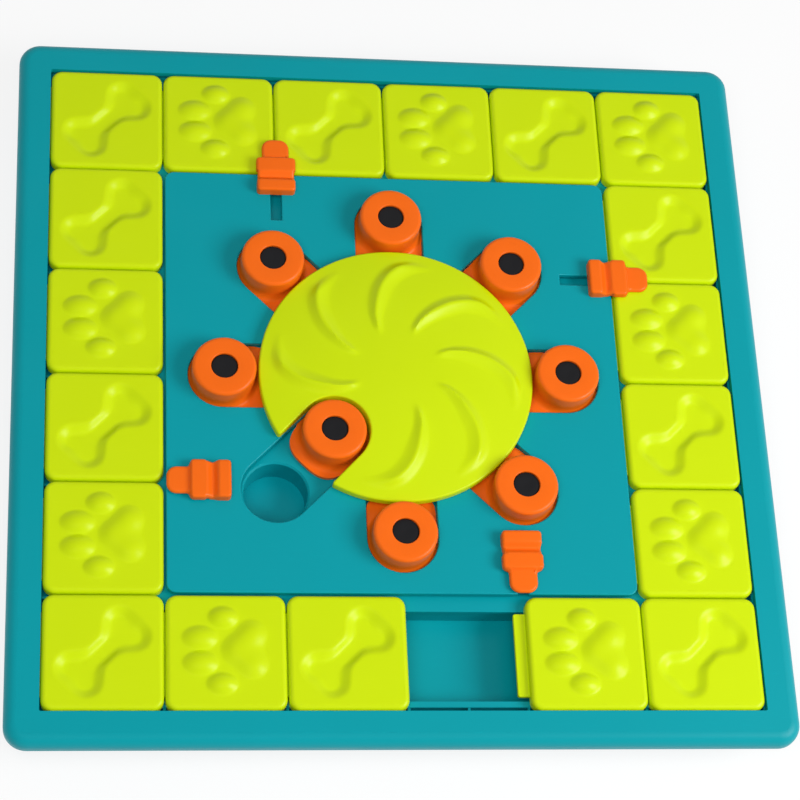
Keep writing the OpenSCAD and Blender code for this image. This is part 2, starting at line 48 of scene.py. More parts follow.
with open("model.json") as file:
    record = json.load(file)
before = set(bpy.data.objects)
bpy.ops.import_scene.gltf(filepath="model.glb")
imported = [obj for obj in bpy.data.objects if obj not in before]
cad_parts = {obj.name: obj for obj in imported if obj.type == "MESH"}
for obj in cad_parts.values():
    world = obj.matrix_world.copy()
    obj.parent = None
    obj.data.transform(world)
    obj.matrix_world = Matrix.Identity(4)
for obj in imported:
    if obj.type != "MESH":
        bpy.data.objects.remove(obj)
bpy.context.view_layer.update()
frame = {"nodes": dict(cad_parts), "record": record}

MM = 0.001
IMAGE_PIXELS = 800
SENSOR_WIDTH = 36.0
# Degrees between neighbouring knobs, channels and vanes
EIGHTH = 45
# Steps of a rounded edge, and where the loop that supports it lies, in roundings
ROUND_STEPS = 5
SUPPORT = 1.15
SHARP_ANGLE = math.radians(38)
# Points closer than this are one point, in a mesh and in an outline
WELD = 0.002 * MM
LEAST_SIDE = 0.0001 * MM
# The same for the triangulation, which works in millimetres
SAME_POINT = 1e-6
# How far hidden forms run into each other, and a small margin
OVERLAP = 1.0 * MM
MARGIN = 0.1 * MM
SATIN_SPECULAR = 0.2
METAL_SPECULAR = 0.5

PLACES = ("back", "back_right", "right", "front_right", "front", "front_left", "left", "back_left")
LATCH_PLACES = ("back", "right", "front", "left")
NODE_BODY = {
    node: body
    for body, nodes in frame["record"]["behaviour"]["bodies"].items()
    for node in nodes
}
TILE_NODES = sorted(node for node in NODE_BODY if node.startswith("tile_"))


# Sizes read from the frame ---------------------------------------------------------------------


def node_middle(node):
    """Middle of a node's box."""
    low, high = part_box(node)
    return (low + high) / 2


TOP_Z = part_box("tile_bone_01")[1].z
TILE_LOW, TILE_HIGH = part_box("tile_bone_01")
TILE_WIDTH = TILE_HIGH.y - TILE_LOW.y
DECK_LOW, DECK_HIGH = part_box("deck")
DECK_Z = DECK_HIGH.z
WHEEL_RADIUS = 75 * MM
KNOB_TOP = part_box("knob_back")[1].z
KNOB_FLANGE_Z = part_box("knob_back")[0].z
KNOB_ORBIT = node_middle("knob_right").x
NOTCH_ORBIT = node_middle("knob_front_left").to_2d().length


# Settings --------------------------------------------------------------------------------------


def length(name, description, default):
    """A size in metres that a user may change."""
    return FloatProperty(
        name=name, description=description, default=default, min=0.0, unit="LENGTH", subtype="DISTANCE"
    )


def colour(name, description, default):
    """A colour as linear red, green and blue."""
    return FloatVectorProperty(
        name=name, description=description, default=default, min=0.0, max=1.0, size=3, subtype="COLOR"
    )


def angle(name, description, degrees):
    """An angle, given in degrees and stored in radians."""
    return FloatProperty(
        name=name, description=description, default=math.radians(degrees), subtype="ANGLE"
    )


def power(name, description, watts):
    """The power of a lamp."""
    return FloatProperty(name=name, description=description, default=watts, min=0.0, unit="POWER")


def share(name, description, default):
    """A share from 0 to 1."""
    return FloatProperty(
        name=name, description=description, default=default, min=0.0, max=1.0, subtype="FACTOR"
    )


class PuzzleTileSettings(bpy.types.PropertyGroup):
    """Sizes of the lime tiles and of the patterns on them."""

    corner_radius: length("Corner radius", "Radius of a tile's corner from above", 6.0 * MM)
    edge_rounding: length("Edge rounding", "Rounding of a tile's top edge", 2.6 * MM)
    bone_depth: length("Bone depth", "Depth of the bone pattern", 3.0 * MM)
    bone_lobe: length("Bone lobe", "Radius of a lobe of the bone", 9.0 * MM)
    bone_shaft: length("Bone shaft", "Half width of the bone's shaft", 6.5 * MM)
    bone_shoulder: length("Bone shoulder", "Width of the soft wall round the bone", 4.8 * MM)
    toe_rise: length("Toe rise", "Height of the paw's toes", 3.0 * MM)
    pad_rise: length("Pad rise", "Height of the paw's large pad", 3.0 * MM)
    grid: length("Grid", "Distance between the points of a tile's top", 0.95 * MM)


class PuzzleWheelSettings(bpy.types.PropertyGroup):
    """Sizes of the turning wheel."""

    rim_rise: length("Rim rise", "Height of the rim above the tiles", 4.6 * MM)
    crown: length("Crown", "Height of the middle above the rim", 6.7 * MM)
    edge_rounding: length("Edge rounding", "Rounding of the wheel's top edge", 1.1 * MM)
    notch_radius: length("Notch radius", "Half width of the notch", 19.3 * MM)
    lip_rounding: length("Lip rounding", "Rounding of the notch's two outer corners", 1.3 * MM)
    vane_rise: length("Vane rise", "Height of a vane's ridge", 3.0 * MM)
    vane_back: length("Vane back", "Width of a vane's steep side", 5.4 * MM)
    vane_front: length("Vane front", "Width of a vane's gentle side", 7.4 * MM)
    grid: length("Grid", "Distance between the points of the wheel's top", 1.15 * MM)


class PuzzleKnobSettings(bpy.types.PropertyGroup):
    """Sizes of the round knobs."""

    radius: length("Radius", "Radius of a knob", 17.3 * MM)
    edge_rounding: length("Edge rounding", "Rounding of a knob's top edge", 2.2 * MM)
    hole_radius: length("Hole radius", "Radius of the hole for the plug", 7.2 * MM)
    hole_rounding: length("Hole rounding", "Rounding of the hole's mouth", 0.5 * MM)
    plug_sink: length("Plug sink", "Depth of the plug below the knob's top", 1.0 * MM)
    flange_radius: length("Flange radius", "Radius of the flange under the deck", 21.5 * MM)
    flange_half_width: length("Flange half width", "Half width of the flange across its slide", 18.8 * MM)
    flange_inner: length("Flange inner end", "Reach of the flange towards the wheel's middle", 24.0 * MM)
    flange_outer: length("Flange outer end", "Reach of the flange away from the wheel's middle", 21.9 * MM)
    around: IntProperty(name="Steps around", description="Steps round a knob", default=96, min=12)


class PuzzleLatchSettings(bpy.types.PropertyGroup):
    """Sizes of the sliding latches."""

    length: length("Length", "Length of a latch", 34.0 * MM)
    rear_width: length("Rear width", "Width of the rear block", 21.4 * MM)
    middle_width: length("Middle width", "Width of the middle block", 22.0 * MM)
    tip_width: length("Tip width", "Width of the tip", 15.2 * MM)
    height: length("Height", "Height of the rear block above the deck", 6.5 * MM)
    groove_depth: length("Groove depth", "Depth of the finger groove", 2.8 * MM)
    edge_rounding: length("Edge rounding", "Rounding of a latch's top edge", 1.5 * MM)
    grid: length("Grid", "Distance between the points of a latch's top", 0.6 * MM)


class PuzzleBoardSettings(bpy.types.PropertyGroup):
    """Sizes of the deck's softened edges."""

    deck_rounding: length("Deck rounding", "Rounding of the deck's top edges", 0.7 * MM)
    deck_corner: length("Deck corner", "Corner radius of the deck", 5.0 * MM)
    channel_half_width: length("Channel half width", "Half width of a knob's channel", 19.0 * MM)
    slot_half_width: length("Slot half width", "Half width of a latch's slot", 3.05 * MM)
    slot_inner_end: length("Slot inner end", "Distance of a slot's end from the board's middle", 95.9 * MM)


class PuzzleFinishSettings(bpy.types.PropertyGroup):
    """Colours of the plastics, the rubber and the steel."""

    lime: colour("Lime", "Tiles and wheel", (0.61, 0.78, 0.002))
    teal: colour("Teal", "Deck, tray and tub", (0.0, 0.32, 0.375))
    orange: colour("Orange", "Knobs and latches", (0.94, 0.15, 0.006))
    plug: colour("Plug", "Rubber plugs in the knobs", (0.002, 0.002, 0.003))
    feet: colour("Feet", "Rubber feet", (0.02, 0.022, 0.022))
    steel: colour("Steel", "Screws and washer", (0.55, 0.56, 0.58))
    roughness: share("Roughness", "Roughness of the plastic", 0.28)


class PuzzleStudioSettings(bpy.types.PropertyGroup):
    """Camera and light."""

    focal_pixels: FloatProperty(
        name="Focal length", description="Focal length in pixels", default=2401.4, subtype="PIXEL"
    )
    distance: length("Distance", "Distance from the camera to the tile tops", 1301.0 * MM)
    bearing: angle("Bearing", "Direction of view, clockwise from +Y", 19.188)
    elevation: angle("Elevation", "Height of the camera above the horizon", 63.954)
    roll: angle("Roll", "Turn of the camera about its line of sight", 18.405)
    aim: FloatVectorProperty(
        name="Aim",
        description="Point looked at, on the tile tops",
        default=(1.78 * MM, -13.63 * MM),
        size=2,
        unit="LENGTH",
    )
    key_power: power("Key light", "Power of the soft key light", 14.8)
    fill_power: power("Overhead light", "Power of the overhead light", 15.6)
    sky: share("Sky", "Light of the white surroundings", 0.2)


# Outlines --------------------------------------------------------------------------------------

# Least cosine used at a corner, so that a sharp one isn't moved far
LEAST_COSINE = 0.3
# Height of a row of a triangular grid, and its distance from the border, in spacings
ROW_HEIGHT = 0.866
BORDER_GAP = 0.7


def quarter_turn(steps):
    """Angles from 0 to 90 degrees, in radians."""
    return [math.radians(90 * step / steps) for step in range(steps + 1)]


def arc(centre, radius, start, end, steps):
    """Points round a centre, from start to end degrees."""
    turn = np.radians(np.linspace(start, end, steps + 1))
    return np.column_stack([centre[0] + radius * np.cos(turn), centre[1] + radius * np.sin(turn)])


def round_rect(half_x, half_y, radius, steps=7):
    """Rectangle with round corners, counter-clockwise."""
    corners = ((1, 1, 0), (-1, 1, 90), (-1, -1, 180), (1, -1, 270))
    out_x, out_y = half_x - radius, half_y - radius
    return np.concatenate(
        [arc((x * out_x, y * out_y), radius, start, start + 90, steps) for x, y, start in corners]
    )


def densify(loop, step):
    """The loop without doubled points and with no side longer than step."""
    points = []
    for a, b in zip(loop, np.roll(loop, -1, axis=0)):
        side = np.linalg.norm(b - a)
        if side > LEAST_SIDE:
            count = max(1, math.ceil(side / step))
            points += [a + (b - a) * k / count for k in range(count)]
    return np.array(points)


def inset(loop, distance):
    """The loop moved to its left, into the material, by distance."""

    def left(side):
        """Unit vectors to the left of the sides."""
        normal = np.column_stack([-side[:, 1], side[:, 0]])
        return normal / np.linalg.norm(normal, axis=1, keepdims=True)

    before = left(loop - np.roll(loop, 1, axis=0))
    after = left(np.roll(loop, -1, axis=0) - loop)
    middle = before + after
    middle /= np.linalg.norm(middle, axis=1, keepdims=True)
    reach = distance / np.maximum((middle * before).sum(axis=1), LEAST_COSINE)
    return loop + middle * reach[:, None]


def turned(points, degrees):
    """Points turned about the origin."""
    c, s = math.cos(math.radians(degrees)), math.sin(math.radians(degrees))
    return np.asarray(points) @ np.array([[c, s], [-s, c]])


def inside(points, loops):
    """Which points lie in the material between the loops."""
    within = np.zeros(len(points), bool)
    x, y = points[:, 0], points[:, 1]
    for loop in loops:
        for (x0, y0), (x1, y1) in zip(loop, np.roll(loop, -1, axis=0)):
            if y0 != y1:
                crosses = (y0 > y) != (y1 > y)
                within ^= crosses & (x < x0 + (y - y0) * (x1 - x0) / (y1 - y0))
    return within


def seeds(loops, spacing):
    """A triangular grid of points in the material, clear of the loops."""
    border = np.concatenate(loops)
    low, high = border.min(axis=0), border.max(axis=0)
    rows = []
    for row, y in enumerate(np.arange(low[1], high[1], spacing * ROW_HEIGHT)):
        x = np.arange(low[0] + (row % 2) * spacing / 2, high[0], spacing)
        line = np.column_stack([x, np.full(len(x), y)])
        gap = np.hypot(x[:, None] - border[:, 0], y - border[:, 1]).min(axis=1)
        rows.append(line[gap > BORDER_GAP * spacing])
    grid = np.concatenate(rows)
    return grid[inside(grid, loops)]


def smooth(start, end, value):
    """A soft step from 0 at start to 1 at end, which may be the smaller of the two."""
    t = np.clip((value - start) / (end - start), 0, 1)
    return t * t * (3 - 2 * t)


def capsule(x, y, a, b):
    """Distance from a segment between points a and b."""
    run = np.subtract(b, a)
    t = np.clip(((x - a[0]) * run[0] + (y - a[1]) * run[1]) / (run @ run), 0, 1)
    return np.hypot(x - a[0] - t * run[0], y - a[1] - t * run[1])


def soft_min(a, b, width):
    """The smaller of two distances, blended over width."""
    t = np.clip(0.5 + 0.5 * (b - a) / width, 0, 1)
    return b + (a - b) * t - width * t * (1 - t)


# Meshes ----------------------------------------------------------------------------------------

# Radius of the small ring that closes a turned form at its axis
AXIS_RADIUS = 0.01 * MM


class Shape:
    """Gathers the points and faces of one piece."""

    def __init__(self):
        self.points = []
        self.faces = []

    def ring(self, loop, z):
        """A closed loop of points at height z, which may be a function of x and y."""
        start = len(self.points)
        heights = z(loop[:, 0], loop[:, 1]) if callable(z) else np.full(len(loop), z)
        self.points.extend(np.column_stack([loop, heights]))
        return list(range(start, start + len(loop)))

    def wall(self, lower, upper):
        """Faces between two rings of equal length, facing right of their direction."""
        for k, a in enumerate(lower):
            n = (k + 1) % len(lower)
            self.faces.append((a, lower[n], upper[n], upper[k]))

    def fill(self, rings, z, spacing=None, up=True):
        """Triangles between rings, with a grid of inner points at height z when spacing is given."""
        loops = [np.array([self.points[i][:2] for i in ring]) for ring in rings]
        index = [i for ring in rings for i in ring]
        inner = seeds(loops, spacing) if spacing else np.zeros((0, 2))
        index += self.ring(inner, z) if len(inner) else []
        edges = []
        at = 0
        for ring in rings:
            edges += [(at + k, at + (k + 1) % len(ring)) for k in range(len(ring))]
            at += len(ring)
        flat = np.concatenate([*loops, inner])
        spots, _, faces, sources, *_ = geometry.delaunay_2d_cdt(
            [Vector(p) / MM for p in flat], edges, [], 0, SAME_POINT
        )
        centres = [[sum(spots[i][c] for i in face) / len(face) * MM for c in (0, 1)] for face in faces]
        for face, keep in zip(faces, inside(np.array(centres), loops)):
            if keep:
                corners = [index[sources[i][0]] for i in face]
                self.faces.append(corners if up else corners[::-1])

    def box(self, low, high):
        """A plain block between two corners, for what lies hidden."""
        loop = np.array([(low[0], low[1]), (high[0], low[1]), (high[0], high[1]), (low[0], high[1])])
        bottom, top = self.ring(loop, low[2]), self.ring(loop, high[2])
        self.wall(bottom, top)
        self.faces += [bottom[::-1], top]

    def turned_box(self, near, far, degrees, low, high):
        """A plain block between two corners seen from above, turned by whole quarters."""
        corners = turned([near, far], degrees)
        self.box((*corners.min(axis=0), low), (*corners.max(axis=0), high))

    def lathe(self, profile, steps, centre=(0, 0)):
        """A profile of radius and height, from the bottom outwards, turned about a vertical line."""
        rings = []
        for radius, z in profile:
            loop = arc(centre, max(radius, AXIS_RADIUS), 0, 360, steps)[:-1]
            rings.append(self.ring(loop, z))
        for lower, upper in zip(rings, rings[1:]):
            self.wall(lower, upper)
        self.faces += [rings[0][::-1], rings[-1]]

    def relief(self, loops, rounding, low, top, spacing=None, underside=True):
        """A slab from height low up to the surface top(x, y), with its top edge rounded."""
        levels = [[self.ring(loop, low) for loop in loops]]
        for turn in quarter_turn(ROUND_STEPS):
            drop = rounding * (1 - math.sin(turn))
            moved = [inset(loop, rounding * (1 - math.cos(turn))) for loop in loops]
            levels.append([self.ring(loop, lambda x, y: top(x, y) - drop) for loop in moved])
        levels.append([self.ring(inset(loop, SUPPORT * rounding), top) for loop in loops])
        for below, above in zip(levels, levels[1:]):
            for lower, upper in zip(below, above):
                self.wall(lower, upper)
        self.fill(levels[-1], top, spacing)
        if underside:
            self.fill(levels[0], low, up=False)
        return levels[0]

    def mesh(self, name):
        """The gathered faces as a mesh with smooth shading and sharp corners."""
        data = bpy.data.meshes.new(name)
        data.from_pydata([tuple(p) for p in self.points], [], [tuple(f) for f in self.faces])
        joined = bmesh.new()
        joined.from_mesh(data)
        bmesh.ops.remove_doubles(joined, verts=joined.verts, dist=WELD)
        joined.to_mesh(data)
        joined.free()
        data.validate()
        data.shade_smooth()
        data.set_sharp_from_angle(angle=SHARP_ANGLE)
        return data


def level(z):
    """A flat surface at height z."""
    return lambda x, y: np.full(np.shape(x), z)


def place(name, data, material, nodes, place_at=(0, 0, 0), turn=0.0):
    """Puts a mesh in the scene in place of CAD nodes, on the body that they belong to."""
    piece = bpy.data.objects.new(name, data)
    bpy.context.scene.collection.objects.link(piece)
    piece.matrix_world = Matrix.Translation(place_at) @ Matrix.Rotation(turn, 4, "Z")
    if not data.materials:
        data.materials.append(material)
    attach(piece, NODE_BODY[nodes[0]])
    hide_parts(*nodes)
    return piece


# Finishes --------------------------------------------------------------------------------------

# How much rougher the teal plastic is than the lime and the orange
TEAL_DULLING = 0.06


def group_tree(name, inputs, outputs):
    """An empty node group with named sockets, and its input and output nodes."""
    tree = bpy.data.node_groups.new(name, "ShaderNodeTree")
    for label, kind, value in inputs:
        socket = tree.interface.new_socket(name=label, in_out="INPUT", socket_type=kind)
        socket.default_value = value
    for label, kind in outputs:
        tree.interface.new_socket(name=label, in_out="OUTPUT", socket_type=kind)
    return tree, tree.nodes.new("NodeGroupInput"), tree.nodes.new("NodeGroupOutput")


def moulded_grain_group():
    """Fine spark-eroded grain with long soft flow waves, as a height."""
    if "moulded_grain" in bpy.data.node_groups:
        return bpy.data.node_groups["moulded_grain"]
    tree, given, out = group_tree(
        "moulded_grain",
        [
            ("Vector", "NodeSocketVector", (0, 0, 0)),
            ("Grain Scale", "NodeSocketFloat", 1600.0),
            ("Wave Scale", "NodeSocketFloat", 38.0),
            ("Wave Share", "NodeSocketFloat", 6.0),
        ],
        [("Height", "NodeSocketFloat")],
    )
    grain = tree.nodes.new("ShaderNodeTexNoise")
    grain.inputs["Detail"].default_value = 3.0
    grain.inputs["Roughness"].default_value = 0.6
    wave = tree.nodes.new("ShaderNodeTexNoise")
    wave.inputs["Detail"].default_value = 1.0
    add = tree.nodes.new("ShaderNodeMath")
    add.operation = "MULTIPLY_ADD"
    link = tree.links.new
    link(given.outputs["Vector"], grain.inputs["Vector"])
    link(given.outputs["Grain Scale"], grain.inputs["Scale"])
    link(given.outputs["Vector"], wave.inputs["Vector"])
    link(given.outputs["Wave Scale"], wave.inputs["Scale"])
    link(wave.outputs["Fac"], add.inputs[0])
    link(given.outputs["Wave Share"], add.inputs[1])
    link(grain.outputs["Fac"], add.inputs[2])
    link(add.outputs[0], out.inputs["Height"])
    return tree


def handled_group():
    """Slow colour drift, fine scuffs and a dulled gloss where hands, paws and tongues rub."""
    if "handled_plastic" in bpy.data.node_groups:
        return bpy.data.node_groups["handled_plastic"]
    tree, given, out = group_tree(
        "handled_plastic",
        [
            ("Vector", "NodeSocketVector", (0, 0, 0)),
            ("Color", "NodeSocketColor", (0.5, 0.5, 0.5, 1)),
            ("Drift", "NodeSocketFloat", 0.05),
            ("Scuff", "NodeSocketFloat", 0.06),
            ("Roughness", "NodeSocketFloat", 0.36),
            ("Roughness Range", "NodeSocketFloat", 0.1),
        ],
        [("Color", "NodeSocketColor"), ("Roughness", "NodeSocketFloat")],
    )
    new, link = tree.nodes.new, tree.links.new

    def noise(scale, detail, stretch=None):
        """Clouds of values about 0.5, drawn out where stretch is given."""
        node = new("ShaderNodeTexNoise")
        node.inputs["Scale"].default_value = scale
        node.inputs["Detail"].default_value = detail
        source = given.outputs["Vector"]
        if stretch:
            mapping = new("ShaderNodeMapping")
            mapping.inputs["Scale"].default_value = stretch
            mapping.inputs["Rotation"].default_value = (0.1, 0.2, 0.7)
            link(source, mapping.inputs["Vector"])
            source = mapping.outputs["Vector"]
        link(source, node.inputs["Vector"])
        return node.outputs["Fac"]

    def span(value, low, high, most):
        """0 where the value is low, up to the group's input most where it is high."""
        node = new("ShaderNodeMapRange")
        node.inputs["From Min"].default_value = low
        node.inputs["From Max"].default_value = high
        link(given.outputs[most], node.inputs["To Max"])
        link(value, node.inputs["Value"])
        return node.outputs["Result"]

    drift = span(noise(scale=11.0, detail=2.0), low=0.35, high=0.65, most="Drift")
    darker = new("ShaderNodeMix")
    darker.data_type = "RGBA"
    darker.blend_type = "MULTIPLY"
    darker.inputs["B"].default_value = (0.72, 0.78, 0.72, 1)
    link(drift, darker.inputs["Factor"])
    link(given.outputs["Color"], darker.inputs["A"])
    scratches = noise(scale=90.0, detail=5.0, stretch=(1.0, 14.0, 1.0))
    scuffs = span(scratches, low=0.60, high=0.78, most="Scuff")
    paler = new("ShaderNodeMix")
    paler.data_type = "RGBA"
    paler.blend_type = "SOFT_LIGHT"
    paler.inputs["B"].default_value = (0.9, 0.9, 0.9, 1)
    link(scuffs, paler.inputs["Factor"])
    link(darker.outputs["Result"], paler.inputs["A"])
    link(paler.outputs["Result"], out.inputs["Color"])
    rubbed = span(noise(scale=24.0, detail=4.0), low=0.3, high=0.7, most="Roughness Range")
    total = new("ShaderNodeMath")
    total.operation = "ADD"
    link(rubbed, total.inputs[0])
    link(given.outputs["Roughness"], total.inputs[1])
    link(total.outputs[0], out.inputs["Roughness"])
    return tree


def plastic(name, base, roughness, drift=0.05, scuff=0.05, grain=0.05, metallic=0.0):
    """A moulded material: handled colour and gloss over a fine moulded grain."""
    if name in bpy.data.materials:
        return bpy.data.materials[name]
    material = bpy.data.materials.new(name)
    material.use_nodes = True
    material.diffuse_color = (*base, 1)
    nodes, link = material.node_tree.nodes, material.node_tree.links.new
    shader = nodes["Principled BSDF"]
    shader.inputs["Metallic"].default_value = metallic
    shader.inputs["IOR"].default_value = 1.49
    shader.inputs["Specular IOR Level"].default_value = METAL_SPECULAR if metallic else SATIN_SPECULAR
    where = nodes.new("ShaderNodeTexCoord")
    handled = nodes.new("ShaderNodeGroup")
    handled.node_tree = handled_group()
    handled.inputs["Color"].default_value = (*base, 1)
    handled.inputs["Drift"].default_value = drift
    handled.inputs["Scuff"].default_value = scuff
    handled.inputs["Roughness"].default_value = roughness
    grains = nodes.new("ShaderNodeGroup")
    grains.node_tree = moulded_grain_group()
    bump = nodes.new("ShaderNodeBump")
    bump.inputs["Strength"].default_value = grain
    bump.inputs["Distance"].default_value = 0.1 * MM
    link(where.outputs["Object"], handled.inputs["Vector"])
    link(where.outputs["Object"], grains.inputs["Vector"])
    link(handled.outputs["Color"], shader.inputs["Base Color"])
    link(handled.outputs["Roughness"], shader.inputs["Roughness"])
    link(grains.outputs["Height"], bump.inputs["Height"])
    link(bump.outputs["Normal"], shader.inputs["Normal"])
    return material


def lime_plastic():
    """Satin lime plastic of the tiles and the wheel."""
    finish = bpy.context.scene.puzzle_finish
    return plastic("lime_finish", finish.lime, finish.roughness, drift=0.10, scuff=0.10)


def teal_plastic():
    """Teal plastic of the deck, the tray and the tub, a little duller than the lime and the orange."""
    finish = bpy.context.scene.puzzle_finish
    roughness = finish.roughness + TEAL_DULLING
    return plastic("teal_finish", finish.teal, roughness, drift=0.14, scuff=0.08, grain=0.09)


def orange_plastic():
    """Satin orange plastic of the knobs and the latches."""
    finish = bpy.context.scene.puzzle_finish
    return plastic("orange_finish", finish.orange, finish.roughness, drift=0.08, scuff=0.10)


def plug_rubber():
    """Black rubber of the plugs."""
    finish = bpy.context.scene.puzzle_finish
    return plastic("plug_finish", finish.plug, roughness=0.5, scuff=0.1, grain=0.1)


def foot_rubber():
    """Dark rubber of the feet."""
    finish = bpy.context.scene.puzzle_finish
    return plastic("feet_finish", finish.feet, roughness=0.62, scuff=0.2, grain=0.14)


def screw_steel():
    """Steel of the screws and the washer."""
    finish = bpy.context.scene.puzzle_finish
    return plastic("steel_finish", finish.steel, roughness=0.26, scuff=0.1, metallic=1.0)


def paint_node(node, material):
    """Gives a kept CAD node its finish."""
    data = frame["nodes"][node].data
    data.materials.clear()
    data.materials.append(material)


# Tiles -----------------------------------------------------------------------------------------

PLATE_UNDER = TOP_Z - 3.9 * MM
TILE_FOOT = TILE_LOW.z + 6.5 * MM
RIM_WALL = 2.4 * MM
TILE_STEP = 2.0 * MM
SKIRT_HALF = 24.0 * MM
SKIRT_WALL = 1.8 * MM
SKIRT_CORNER = 3.0 * MM
BORE_CORNER = 1.6 * MM
BORE_END = PLATE_UNDER - 2.0 * MM
BARB_OUT = 1.4 * MM
BARB_HALF = 6.0 * MM
BARB_TOP = TILE_LOW.z + 3.1 * MM
TONGUE_HALF = 22.7 * MM
TONGUE_OUT = 6.2 * MM
TONGUE_TOP = PLATE_UNDER - 0.4 * MM
TONGUE_ROOT = 1.5 * MM
TONGUE_CORNER = 1.2 * MM
TONGUE_ROUNDING = 0.6 * MM
SLOT_HALF = TONGUE_HALF + 0.6 * MM
SLOT_TOP = PLATE_UNDER - 0.01 * MM
# Place of the bone's shaft end along x and y, and its two lobes there
BONE_SHAFT_END = 15.0 * MM / math.sqrt(2)
BONE_ENDS = ((16.0 * MM, 8.4 * MM), (8.4 * MM, 16.0 * MM))
BONE_BLEND = 6.5 * MM
BONE_LIP = 0.9 * MM
# The bone's soft wall gets wider, by this share, between two distances from the tile's middle
BONE_WIDENING = 0.45
BONE_WIDENS = (9.0 * MM, 17.0 * MM)
# Each toe's middle and half lengths
TOES = (
    ((-1.6 * MM, 18.4 * MM), 7.9 * MM, 6.1 * MM),
    ((-13.5 * MM, 7.4 * MM), 9.4 * MM, 6.6 * MM),
    ((-13.3 * MM, -6.1 * MM), 9.4 * MM, 6.6 * MM),
    ((-2.3 * MM, -17.2 * MM), 8.2 * MM, 6.0 * MM),
)
PAD_POINTS = ((4.8 * MM, 0.9 * MM), (13.2 * MM, 9.6 * MM), (13.8 * MM, -7.0 * MM))
PAD_SPREAD = 5.3 * MM
# Sum of the pad's swells where it starts and where it is full, and how steeply it rises
PAD_SWELLS = (0.3, 1.4)
PAD_STEEPNESS = 0.6
# Softness of a toe's foot, and how far out, in its half lengths, a toe still counts
TOE_SOFTNESS = 0.012
TOE_FAR = 3.0
# The paw leaves out its lowest skin and fades away towards the tile's edge
PAW_SKIN = 0.02 * MM
PAW_FADE = (27.5 * MM, 25.0 * MM)


def bone_surface(size):
    """Height of a tile's top with a bone pressed into it."""
    out = BONE_SHAFT_END

    def surface(x, y):
        edge = capsule(x, y, (-out, -out), (out, out)) - size.bone_shaft
        for end in BONE_ENDS:
            for side in (1, -1):
                lobe = np.hypot(x - side * end[0], y - side * end[1]) - size.bone_lobe
                edge = soft_min(edge, lobe, BONE_BLEND)
        wall = size.bone_shoulder * (1 + BONE_WIDENING * smooth(*BONE_WIDENS, np.hypot(x, y)))
        return TOP_Z - size.bone_depth * smooth(BONE_LIP, BONE_LIP - wall, edge)

    return surface


def paw_surface(size):
    """Height of a tile's top with a raised paw."""

    def dome(reach):
        """A low cap over reach 0 to 1 with a soft foot."""
        cap = 1 - reach * reach
        return 0.5 * (cap + np.sqrt(cap * cap + TOE_SOFTNESS))

    def surface(x, y):
        rise = np.zeros(np.shape(x))
        for (cx, cy), half_x, half_y in TOES:
            reach = np.hypot((x - cx) / half_x, (y - cy) / half_y)
            rise += size.toe_rise * dome(np.minimum(reach, TOE_FAR))
        swell = sum(
            np.exp(-((x - cx) ** 2 + (y - cy) ** 2) / (2 * PAD_SPREAD**2)) for cx, cy in PAD_POINTS
        )
        rise += size.pad_rise * smooth(*PAD_SWELLS, swell) ** PAD_STEEPNESS
        far = np.maximum(np.abs(x), np.abs(y))
        return TOP_Z + np.maximum(rise - PAW_SKIN, 0) * smooth(*PAW_FADE, far)

    return surface


def add_skirt(shape):
    """A tile's hollow skirt, with a barb on each side."""
    bore_half = SKIRT_HALF - SKIRT_WALL
    skirt = round_rect(SKIRT_HALF, SKIRT_HALF, SKIRT_CORNER, 4)
    bore = round_rect(bore_half, bore_half, BORE_CORNER, 4)
    rings = [shape.ring(skirt, PLATE_UNDER), shape.ring(skirt, TILE_LOW.z)]
    rings += [shape.ring(bore, TILE_LOW.z), shape.ring(bore, BORE_END)]
    for upper, lower in zip(rings, rings[1:]):
        shape.wall(lower, upper)
    shape.faces.append(rings[-1][::-1])
    near, far = (SKIRT_HALF - OVERLAP, -BARB_HALF), (SKIRT_HALF + BARB_OUT, BARB_HALF)
    for quarter in range(4):
        shape.turned_box(near, far, 90 * quarter, TILE_LOW.z, BARB_TOP)


def add_tongue(shape, half):
    """A tile's tongue, which runs under the next tile on its left."""
    tongue = round_rect(TONGUE_OUT / 2 + TONGUE_ROOT, TONGUE_HALF, TONGUE_CORNER, 4)
    tongue = densify(tongue, TILE_STEP) + (-half - TONGUE_OUT / 2 + TONGUE_ROOT, 0)
    shape.relief([tongue], TONGUE_ROUNDING, TILE_FOOT, level(TONGUE_TOP))


def tile_mesh(name, surface):
    """One tile about its own middle: top, hollow rim, skirt with barbs, and tongue on its left."""
    size = bpy.context.scene.puzzle_tile
    shape = Shape()
    half = TILE_WIDTH / 2
    outline = densify(round_rect(half, half, size.corner_radius), TILE_STEP)

    def foot(x, y):
        """Height of the rim's foot, raised on the right for the next tile's tongue."""
        slot = (x > half - RIM_WALL - MARGIN) & (np.abs(y) < SLOT_HALF)
        return np.where(slot, SLOT_TOP, TILE_FOOT)

    base = shape.relief([outline], size.edge_rounding, TILE_FOOT, surface, size.grid, underside=False)
    outer = base[0]
    for i in outer:
        shape.points[i][2] = foot(*shape.points[i][:2])
    inner_loop = inset(outline, RIM_WALL)
    inner = shape.ring(inner_loop, foot)
    ceiling = shape.ring(inner_loop, PLATE_UNDER)
    shape.wall(inner, outer)
    shape.wall(ceiling, inner)
    shape.fill([ceiling], PLATE_UNDER, up=False)
    add_skirt(shape)
    add_tongue(shape, half)
    return shape.mesh(name)


